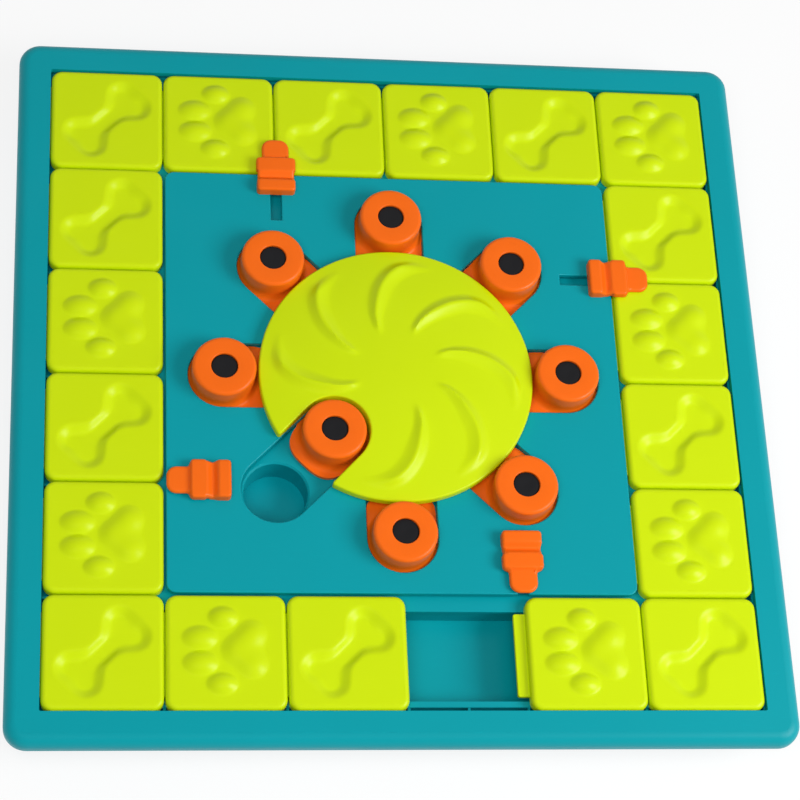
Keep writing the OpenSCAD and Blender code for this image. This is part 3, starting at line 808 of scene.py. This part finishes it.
class PUZZLE_OT_tiles(bpy.types.Operator):
    """Builds the ring of lime tiles"""

    bl_idname = "puzzle_board.tiles"
    bl_label = "Tiles"

    def execute(self, context):
        size = context.scene.puzzle_tile
        meshes = {
            "bone": tile_mesh("bone_tile", bone_surface(size)),
            "paw": tile_mesh("paw_tile", paw_surface(size)),
        }
        for node in TILE_NODES:
            low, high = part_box(node)
            middle = (high.x - TILE_WIDTH / 2, (low.y + high.y) / 2, 0)
            place(node + "_moulding", meshes[node.split("_")[1]], lime_plastic(), [node], middle)
        return {"FINISHED"}


# Wheel -----------------------------------------------------------------------------------------

WHEEL_UNDER = DECK_Z + 0.7 * MM
WHEEL_STEP = 2.2 * MM
NOTCH_BEARING = 225
STUB_RADIUS = 8.0 * MM
# A vane's back edge is an arc, and the vane runs between two distances from the middle
VANE_BACK_CENTRE = (38.0 * MM, -20.9 * MM)
VANE_BACK_RADIUS = 36.2 * MM
VANE_INNER = 21.0 * MM
VANE_OUTER = 69.5 * MM
# Shares of its full width and height that a vane has at its inner end, and of its run from where
# it is as wide and as high as it gets
VANE_THIN = 0.4
VANE_LOW = 0.5
VANE_WIDE_FROM = 0.55
VANE_HIGH_FROM = 0.4
# Shares of its run where it has risen from the dome, and where it starts to sink into it again
VANE_RISEN = 0.16
VANE_SINKS = 0.86
RIDGE_BLEND = 0.3
RIDGE_STEEPNESS = 1.4


def wheel_outline(size):
    """The wheel's edge with its notch, counter-clockwise."""
    half, lip = size.notch_radius, size.lip_rounding
    lip_y = half + lip
    lip_x = math.sqrt((WHEEL_RADIUS - lip) ** 2 - lip_y**2)
    bearing = math.degrees(math.atan2(lip_y, lip_x))
    rim = arc((0, 0), WHEEL_RADIUS, bearing, 360 - bearing, 220)
    before = arc((lip_x, -lip_y), lip, -bearing, 90, 8)
    cove = arc((NOTCH_ORBIT, 0), half, 270, 90, 48)
    after = arc((lip_x, lip_y), lip, -90, bearing, 8)
    loop = np.concatenate([rim, before, cove, after])
    return densify(turned(loop, NOTCH_BEARING), WHEEL_STEP)


def wheel_surface(size):
    """Height of the domed wheel with its swept vanes."""

    def vane(x, y):
        """Rise of the vane whose outer end points along +X."""
        radius = np.hypot(x, y)
        behind = VANE_BACK_RADIUS - np.hypot(x - VANE_BACK_CENTRE[0], y - VANE_BACK_CENTRE[1])
        along = np.clip((radius - VANE_INNER) / (VANE_OUTER - VANE_INNER), 0, 1)
        swell = VANE_THIN + (1 - VANE_THIN) * smooth(0, VANE_WIDE_FROM, along)
        back = behind / (size.vane_back * swell)
        front = 1 + (size.vane_back * swell - behind) / (size.vane_front * swell)
        profile = np.clip(soft_min(back, front, RIDGE_BLEND), 0, 1) ** RIDGE_STEEPNESS
        ends = smooth(0, VANE_RISEN, along) * (1 - smooth(VANE_SINKS, 1, along))
        climb = VANE_LOW + (1 - VANE_LOW) * smooth(0, VANE_HIGH_FROM, along)
        return profile * ends * climb * (y > VANE_BACK_CENTRE[1])

    def surface(x, y):
        dome = size.rim_rise + size.crown * (1 - (x * x + y * y) / WHEEL_RADIUS**2)
        rise = np.zeros(np.shape(x))
        flat = np.column_stack([np.ravel(x), np.ravel(y)])
        for bearing in range(0, 360, EIGHTH):
            if bearing != NOTCH_BEARING:
                local = turned(flat, -bearing)
                rise = np.maximum(rise, vane(local[:, 0], local[:, 1]).reshape(np.shape(x)))
        return TOP_Z + dome + size.vane_rise * rise

    return surface


class PUZZLE_OT_wheel(bpy.types.Operator):
    """Builds the domed wheel with its vanes and notch"""

    bl_idname = "puzzle_board.wheel"
    bl_label = "Wheel"

    def execute(self, context):
        size = context.scene.puzzle_wheel
        shape = Shape()
        outline, surface = wheel_outline(size), wheel_surface(size)
        shape.relief([outline], size.edge_rounding, WHEEL_UNDER, surface, size.grid)
        stub_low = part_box("wheel")[0].z
        shape.lathe([(STUB_RADIUS, stub_low), (STUB_RADIUS, WHEEL_UNDER + OVERLAP)], 48)
        place("wheel_moulding", shape.mesh("wheel"), lime_plastic(), ["wheel"])
        for node in ("wheel_washer", "wheel_screw"):
            paint_node(node, screw_steel())
        return {"FINISHED"}


# Knobs -----------------------------------------------------------------------------------------

FLANGE_TOP = KNOB_FLANGE_Z + 2.3 * MM
FLARE_TOP = FLANGE_TOP + 4.6 * MM
FLARE_LOW_RADIUS = 20.4 * MM
FLANGE_BEVEL = 0.4 * MM
# How square the flange's ends are: 2 is an ellipse
INNER_SQUARENESS = 8.0
OUTER_SQUARENESS = 3.0
CAVITY_RADIUS = 14.3 * MM
CAVITY_TOP = KNOB_FLANGE_Z + 4.0 * MM
HOLE_FLOOR = KNOB_TOP - 9.0 * MM
EDGE_STEPS = 8
MOUTH_STEPS = 4
PLUG_CLEARANCE = 0.05 * MM
PLUG_HEIGHT = 6.2 * MM
PLUG_ROUNDING = 0.6 * MM
# Turns round the plug's edge, in radians, and its dished top: share of its radius, and depth
PLUG_TURNS = (0, 0.5, 1.05, 1.57)
PLUG_DISH = ((0.55, 0.05 * MM), (0.25, 0.25 * MM), (0, 0.3 * MM))


def knob_profile(size):
    """Radius and height of a knob, from the middle of its underside, out and up to its hole."""
    body, flange, hole = size.radius, size.flange_radius, size.hole_radius
    profile = [(0, CAVITY_TOP), (CAVITY_RADIUS, CAVITY_TOP), (CAVITY_RADIUS, KNOB_FLANGE_Z)]
    profile += [(flange, KNOB_FLANGE_Z), (flange, FLANGE_TOP - FLANGE_BEVEL)]
    profile += [(flange - FLANGE_BEVEL, FLANGE_TOP)]
    for t in reversed(quarter_turn(EDGE_STEPS)):
        out = (FLARE_LOW_RADIUS - body) * (1 - math.cos(t))
        profile.append((body + out, FLARE_TOP - (FLARE_TOP - FLANGE_TOP) * math.sin(t)))
    for t in quarter_turn(EDGE_STEPS):
        radius = body - size.edge_rounding * (1 - math.cos(t))
        profile.append((radius, KNOB_TOP - size.edge_rounding * (1 - math.sin(t))))
    for t in quarter_turn(MOUTH_STEPS):
        radius = hole + size.hole_rounding * (1 - math.sin(t))
        profile.append((radius, KNOB_TOP - size.hole_rounding * (1 - math.cos(t))))
    return [*profile, (hole, HOLE_FLOOR), (0, HOLE_FLOOR)]


def shape_flange(points, size):
    """Turns the round flange into a long one that is squarer at its inner end than at its outer."""
    for point in points:
        x, y = point[:2]
        if math.hypot(x, y) > FLARE_LOW_RADIUS + MARGIN:
            reach = size.flange_inner if x < 0 else size.flange_outer
            squareness = INNER_SQUARENESS if x < 0 else OUTER_SQUARENESS
            stretch = abs(x / reach) ** squareness + abs(y / size.flange_half_width) ** squareness
            point[:2] = np.array([x, y]) / stretch ** (1 / squareness)


def plug_profile(size):
    """Radius and height of a plug, from the middle of its underside to that of its dished top."""
    radius, top = size.hole_radius - PLUG_CLEARANCE, KNOB_TOP - size.plug_sink
    profile = [(0, top - PLUG_HEIGHT), (radius, top - PLUG_HEIGHT)]
    for t in PLUG_TURNS:
        inwards = PLUG_ROUNDING * (1 - math.cos(t))
        profile.append((radius - inwards, top - PLUG_ROUNDING * (1 - math.sin(t))))
    return profile + [(part * radius, top - depth) for part, depth in PLUG_DISH]


class PUZZLE_OT_knobs(bpy.types.Operator):
    """Builds the sliding knobs and their plugs"""

    bl_idname = "puzzle_board.knobs"
    bl_label = "Knobs"

    def execute(self, context):
        size = context.scene.puzzle_knob
        knob, plug = Shape(), Shape()
        knob.lathe(knob_profile(size), size.around)
        shape_flange(knob.points, size)
        plug.lathe(plug_profile(size), 48)
        knob_data, plug_data = knob.mesh("knob"), plug.mesh("plug")
        for number, where in enumerate(PLACES):
            middle = node_middle("knob_" + where)
            at = (middle.x, middle.y, 0)
            turn = math.radians(90 - EIGHTH * number)
            place(f"knob_{where}_moulding", knob_data, orange_plastic(), ["knob_" + where], at, turn)
            place(f"plug_{where}_moulding", plug_data, plug_rubber(), ["knob_plug_" + where], at, turn)
        return {"FINISHED"}


# Latches ---------------------------------------------------------------------------------------

LATCH_UNDER = DECK_Z + 0.3 * MM
LATCH_TIP_UNDER = TOP_Z + 1.0 * MM
LATCH_STEP = 1.2 * MM
REAR_CORNER = 2.0 * MM
STEP_CORNER = 2.6 * MM
TIP_CORNER = 5.5 * MM
TIP_TOP = 3.7 * MM
# The finger groove's middle, half widths and narrowing, and the step down to the tip
GROOVE_AT = 9.6 * MM
GROOVE_HALF = 3.6 * MM
GROOVE_SIDE = 3.2 * MM
GROOVE_PINCH = 0.5 * MM
STEP_AT = 22.0 * MM
STEP_SPAN = (STEP_AT - 1.4 * MM, STEP_AT + 0.5 * MM)
# How much lower the middle block and the edges of a latch are
MIDDLE_DROP = 0.5 * MM
EDGE_DROP = 0.35 * MM
# Foot, keeper and nib, which hang below a latch
FOOT_REAR = 5.9 * MM
FOOT_FRONT = 10.9 * MM
FOOT_HALF = 2.7 * MM
KEEPER_HALF = 4.5 * MM
KEEPER_LOW = DECK_LOW.z + 1.3 * MM
KEEPER_HIGH = KEEPER_LOW + 1.6 * MM
FOOT_LOW = KEEPER_LOW + 1.4 * MM
NIB_END = 17.1 * MM
NIB_HALF = 1.0 * MM
NIB_LOW = DECK_Z - 2.7 * MM
HANGERS_TOP = LATCH_TIP_UNDER + 0.4 * MM


def latch_outline(size):
    """A latch from above, its rear on y = 0 and its tip towards +Y."""
    rear, middle, tip = size.rear_width / 2, size.middle_width / 2, size.tip_width / 2
    right = [
        *arc((rear - REAR_CORNER, REAR_CORNER), REAR_CORNER, -90, 0, 5),
        (rear, GROOVE_AT - GROOVE_SIDE),
        (rear - GROOVE_PINCH, GROOVE_AT),
        *arc((middle - REAR_CORNER, GROOVE_AT + 5.0 * MM), REAR_CORNER, -50, 0, 4),
        *arc((middle - STEP_CORNER, STEP_AT - STEP_CORNER), STEP_CORNER, 0, 75, 5),
        (tip + 0.3 * MM, STEP_AT + 0.5 * MM),
        (tip, STEP_AT + 1.5 * MM),
        *arc((tip - TIP_CORNER, size.length - TIP_CORNER), TIP_CORNER, 0, 90, 8),
    ]
    left = [(-x, y) for x, y in reversed(right)]
    return densify(np.array(right + left), LATCH_STEP)


def latch_surface(size):
    """Height of a latch's top along its length: rear block, finger groove, middle block and low tip."""

    def surface(x, y):
        rear = size.height - MIDDLE_DROP * smooth(GROOVE_AT, GROOVE_AT + 3 * MM, y)
        reach = np.clip(np.abs(y - GROOVE_AT) / GROOVE_HALF, 0, 1)
        groove = size.groove_depth * (1 - smooth(0, 1, reach))
        step = (size.height - MIDDLE_DROP - TIP_TOP) * smooth(*STEP_SPAN, y)
        sides = EDGE_DROP * (x / (size.middle_width / 2)) ** 2
        return DECK_Z + rear - groove - step - sides

    return surface


class PUZZLE_OT_latches(bpy.types.Operator):
    """Builds the sliding latches"""

    bl_idname = "puzzle_board.latches"
    bl_label = "Latches"

    def execute(self, context):
        size = context.scene.puzzle_latch
        shape = Shape()
        outline = latch_outline(size)
        base = shape.relief([outline], size.edge_rounding, LATCH_UNDER, latch_surface(size), size.grid)
        for i in base[0]:
            if shape.points[i][1] > FOOT_FRONT:
                shape.points[i][2] = LATCH_TIP_UNDER
        hangers = (
            (FOOT_HALF, FOOT_REAR, FOOT_FRONT, FOOT_LOW, HANGERS_TOP),
            (KEEPER_HALF, FOOT_REAR, FOOT_FRONT, KEEPER_LOW, KEEPER_HIGH),
            (NIB_HALF, FOOT_FRONT - OVERLAP, NIB_END, NIB_LOW, HANGERS_TOP),
        )
        for half, rear, front, low, high in hangers:
            shape.box((-half, rear, low), (half, front, high))
        data = shape.mesh("latch")
        for number, where in enumerate(LATCH_PLACES):
            middle = node_middle("latch_" + where)
            turn = math.radians(-90 * number)
            rear = Matrix.Rotation(turn, 4, "Z") @ Vector((0, -size.length / 2, 0))
            at = (middle.x + rear.x, middle.y + rear.y, 0)
            place(f"latch_{where}_moulding", data, orange_plastic(), ["latch_" + where], at, turn)
        return {"FINISHED"}


# Deck ------------------------------------------------------------------------------------------

RACE_TOP = DECK_Z - 2.9 * MM
DECK_GRID = 6.0 * MM
LATCH_PITCH = node_middle("latch_front").x
# The deck's skirt stands inside its edge and leaves a gap at each latch
DECK_SKIRT_OUT = DECK_HIGH.x - 6.7 * MM
DECK_SKIRT_IN = DECK_SKIRT_OUT - 2 * MM
LATCH_GAP = 5.3 * MM
# Posts for the screws: eight between the channels and one in each corner
POST_RADIUS = 4.5 * MM
POST_ORBIT = 80.0 * MM
CORNER_POST_ORBIT = 107.95 * math.sqrt(2) * MM


def deck_outline(size):
    """The deck's outer edge with the latches' slots, counter-clockwise."""
    half = DECK_HIGH.x
    corner, slot = size.deck_corner, size.slot_half_width
    side = [
        *arc((half - corner, -half + corner), corner, -90, 0, 6),
        (half, LATCH_PITCH - slot),
        (size.slot_inner_end, LATCH_PITCH - slot),
        (size.slot_inner_end, LATCH_PITCH + slot),
        (half, LATCH_PITCH + slot),
    ]
    return np.concatenate([turned(side, 90 * quarter) for quarter in range(4)])


def channel_star(size):
    """The opening of the eight channels that meet in the middle, clockwise."""
    half = size.channel_half_width
    tip = half / math.sin(math.radians(EIGHTH / 2))
    end = arc((KNOB_ORBIT, 0), half, -90, 90, 24)
    loop = []
    for bearing in range(0, 360, EIGHTH):
        loop += [*turned(end, bearing), *turned([(tip, 0)], bearing + EIGHTH / 2)]
    return np.array(loop)[::-1]


class PUZZLE_OT_deck(bpy.types.Operator):
    """Builds the deck with its channels and slots"""

    bl_idname = "puzzle_board.deck"
    bl_label = "Deck"

    def execute(self, context):
        size = context.scene.puzzle_board
        shape = Shape()
        loops = [densify(loop, DECK_GRID) for loop in (deck_outline(size), channel_star(size))]
        shape.relief(loops, size.deck_rounding, RACE_TOP, level(DECK_Z), DECK_GRID)
        low, high = DECK_LOW.z, RACE_TOP + MARGIN
        runs = (-DECK_SKIRT_OUT, -LATCH_PITCH - LATCH_GAP), (-LATCH_PITCH + LATCH_GAP, DECK_SKIRT_IN)
        for quarter in range(4):
            for start, end in runs:
                near, far = (start, DECK_SKIRT_IN), (end, DECK_SKIRT_OUT)
                shape.turned_box(near, far, -90 * quarter, low, high)
        posts = [(POST_ORBIT, EIGHTH / 2 + EIGHTH * k) for k in range(8)]
        posts += [(CORNER_POST_ORBIT, EIGHTH + 90 * k) for k in range(4)]
        for orbit, bearing in posts:
            centre = turned([(orbit, 0)], bearing)[0]
            shape.lathe([(POST_RADIUS, low), (POST_RADIUS, high)], 32, centre)
        place("deck_moulding", shape.mesh("deck"), teal_plastic(), ["deck"])
        return {"FINISHED"}


# Tub and fasteners -----------------------------------------------------------------------------


class PUZZLE_OT_tub(bpy.types.Operator):
    """Finishes the tub, the tray, the feet and the screws"""

    bl_idname = "puzzle_board.tub"
    bl_label = "Tub, tray, feet and screws"

    def execute(self, context):
        for node in ("base_tub", "well_tray", "treat_cups"):
            paint_node(node, teal_plastic())
        paint_node("rubber_feet", foot_rubber())
        paint_node("deck_screws", screw_steel())
        return {"FINISHED"}


# Studio ----------------------------------------------------------------------------------------

FLOOR_GLOW = 0.8
FLOOR_RADIUS = 8.0
FLOOR_Z = -0.2 * MM
KEY_WIDTH = 0.7
KEY_AT = (1.05, -0.45, 0.95)
OVERHEAD_WIDTH = 0.9
OVERHEAD_AT = (-0.4, -0.65, 1.75)


def area_light(name, watts, width, at):
    """A square soft light at a point, aimed at the middle of the floor."""
    light = bpy.data.lights.new(name, "AREA")
    light.shape = "SQUARE"
    light.size = width
    light.energy = watts
    lamp = bpy.data.objects.new(name, light)
    bpy.context.scene.collection.objects.link(lamp)
    lamp.location = at
    lamp.rotation_euler = (-Vector(at)).to_track_quat("-Z", "Y").to_euler()
    return lamp


def seen_directly(nodes, link):
    """Socket that is 1 for what is seen, also in reflections and through glass, and 0 for other light."""
    path = nodes.new("ShaderNodeLightPath")
    seen = path.outputs["Is Camera Ray"]
    for kind in ("Is Glossy Ray", "Is Transmission Ray"):
        either = nodes.new("ShaderNodeMath")
        either.operation = "MAXIMUM"
        link(seen, either.inputs[0])
        link(path.outputs[kind], either.inputs[1])
        seen = either.outputs[0]
    return seen


def floor_material():
    """White floor that keeps the object's shadow and is otherwise plain white to the camera."""
    material = bpy.data.materials.new("studio_floor")
    material.use_nodes = True
    nodes, link = material.node_tree.nodes, material.node_tree.links.new
    diffuse = nodes["Principled BSDF"]
    diffuse.inputs["Base Color"].default_value = (0.94, 0.94, 0.94, 1)
    diffuse.inputs["Roughness"].default_value = 0.9
    diffuse.inputs["Specular IOR Level"].default_value = 0.1
    glow = nodes.new("ShaderNodeEmission")
    dimmed = nodes.new("ShaderNodeMath")
    dimmed.operation = "MULTIPLY"
    dimmed.inputs[1].default_value = FLOOR_GLOW
    mix = nodes.new("ShaderNodeMixShader")
    link(seen_directly(nodes, link), dimmed.inputs[0])
    link(dimmed.outputs[0], mix.inputs["Fac"])
    link(diffuse.outputs["BSDF"], mix.inputs[1])
    link(glow.outputs["Emission"], mix.inputs[2])
    link(mix.outputs["Shader"], nodes["Material Output"].inputs["Surface"])
    return material


def white_world(strength):
    """White surroundings that light the board with the given strength and are seen at strength 1."""
    world = bpy.data.worlds.new("studio")
    bpy.context.scene.world = world
    world.use_nodes = True
    nodes, link = world.node_tree.nodes, world.node_tree.links.new
    light = nodes["Background"]
    light.inputs["Color"].default_value = (1, 1, 1, 1)
    light.inputs["Strength"].default_value = strength
    seen = nodes.new("ShaderNodeBackground")
    seen.inputs["Color"].default_value = (1, 1, 1, 1)
    mix = nodes.new("ShaderNodeMixShader")
    link(seen_directly(nodes, link), mix.inputs["Fac"])
    link(light.outputs["Background"], mix.inputs[1])
    link(seen.outputs["Background"], mix.inputs[2])
    link(mix.outputs["Shader"], nodes["World Output"].inputs["Surface"])


def photo_camera(studio):
    """The camera at the photograph's angle."""
    camera = bpy.data.cameras.new("camera")
    camera.sensor_width = SENSOR_WIDTH
    camera.lens = studio.focal_pixels * SENSOR_WIDTH / IMAGE_PIXELS
    view = bpy.data.objects.new("camera", camera)
    bpy.context.scene.collection.objects.link(view)
    aim = Vector((*studio.aim, TOP_Z))
    level_look = Vector((math.sin(studio.bearing), math.cos(studio.bearing), 0))
    forward = level_look * math.cos(studio.elevation) - Vector((0, 0, math.sin(studio.elevation)))
    right = forward.cross(Vector((0, 0, 1))).normalized()
    up = right.cross(forward)
    right, up = (
        right * math.cos(studio.roll) + up * math.sin(studio.roll),
        up * math.cos(studio.roll) - right * math.sin(studio.roll),
    )
    turn = Matrix((right, up, -forward)).transposed().to_4x4()
    view.matrix_world = Matrix.Translation(aim - forward * studio.distance) @ turn
    bpy.context.scene.camera = view


class PUZZLE_OT_stage(bpy.types.Operator):
    """Sets the floor, the light, the surroundings and the camera"""

    bl_idname = "puzzle_board.stage"
    bl_label = "Studio"

    def execute(self, context):
        studio = context.scene.puzzle_studio
        shape = Shape()
        disc = shape.ring(arc((0, 0), FLOOR_RADIUS, 0, 360, 96)[:-1], FLOOR_Z)
        shape.faces.append(disc)
        floor = bpy.data.objects.new("floor", shape.mesh("floor"))
        context.scene.collection.objects.link(floor)
        floor.data.materials.append(floor_material())
        area_light("key", studio.key_power, KEY_WIDTH, KEY_AT)
        overhead = area_light("overhead", studio.fill_power, OVERHEAD_WIDTH, OVERHEAD_AT)
        overhead.visible_glossy = False
        white_world(studio.sky)
        photo_camera(studio)
        context.scene.view_settings.view_transform = "Standard"
        return {"FINISHED"}


# Add-on ----------------------------------------------------------------------------------------

OPERATORS = (
    PUZZLE_OT_stage,
    PUZZLE_OT_tiles,
    PUZZLE_OT_wheel,
    PUZZLE_OT_knobs,
    PUZZLE_OT_latches,
    PUZZLE_OT_deck,
    PUZZLE_OT_tub,
)
SETTINGS = {
    "puzzle_tile": PuzzleTileSettings,
    "puzzle_wheel": PuzzleWheelSettings,
    "puzzle_knob": PuzzleKnobSettings,
    "puzzle_latch": PuzzleLatchSettings,
    "puzzle_board": PuzzleBoardSettings,
    "puzzle_finish": PuzzleFinishSettings,
    "puzzle_studio": PuzzleStudioSettings,
}


class PUZZLE_PT_board(bpy.types.Panel):
    """Lists the steps that build the board"""

    bl_idname = "PUZZLE_PT_board"
    bl_label = "Treat Puzzle Board"
    bl_space_type = "VIEW_3D"
    bl_region_type = "UI"
    bl_category = "Puzzle Board"

    def draw(self, context):
        """A button for each step and a box for each group of settings."""
        for operator in OPERATORS:
            self.layout.operator(operator.bl_idname)
        for name in SETTINGS:
            box = self.layout.box()
            group = getattr(context.scene, name)
            for key in group.__annotations__:
                box.prop(group, key)


def register():
    """Registers the settings, the operators and the panel."""
    for name, group in SETTINGS.items():
        bpy.utils.register_class(group)
        setattr(bpy.types.Scene, name, PointerProperty(type=group))
    for cls in (*OPERATORS, PUZZLE_PT_board):
        bpy.utils.register_class(cls)


def unregister():
    """Takes the panel, the operators and the settings away again."""
    for cls in (PUZZLE_PT_board, *reversed(OPERATORS)):
        bpy.utils.unregister_class(cls)
    for name, group in reversed(SETTINGS.items()):
        delattr(bpy.types.Scene, name)
        bpy.utils.unregister_class(group)


def main():
    """Registers the add-on and builds everything in order."""
    register()
    for operator in OPERATORS:
        area, name = operator.bl_idname.split(".")
        getattr(getattr(bpy.ops, area), name)()


if __name__ == "__main__":
    main()
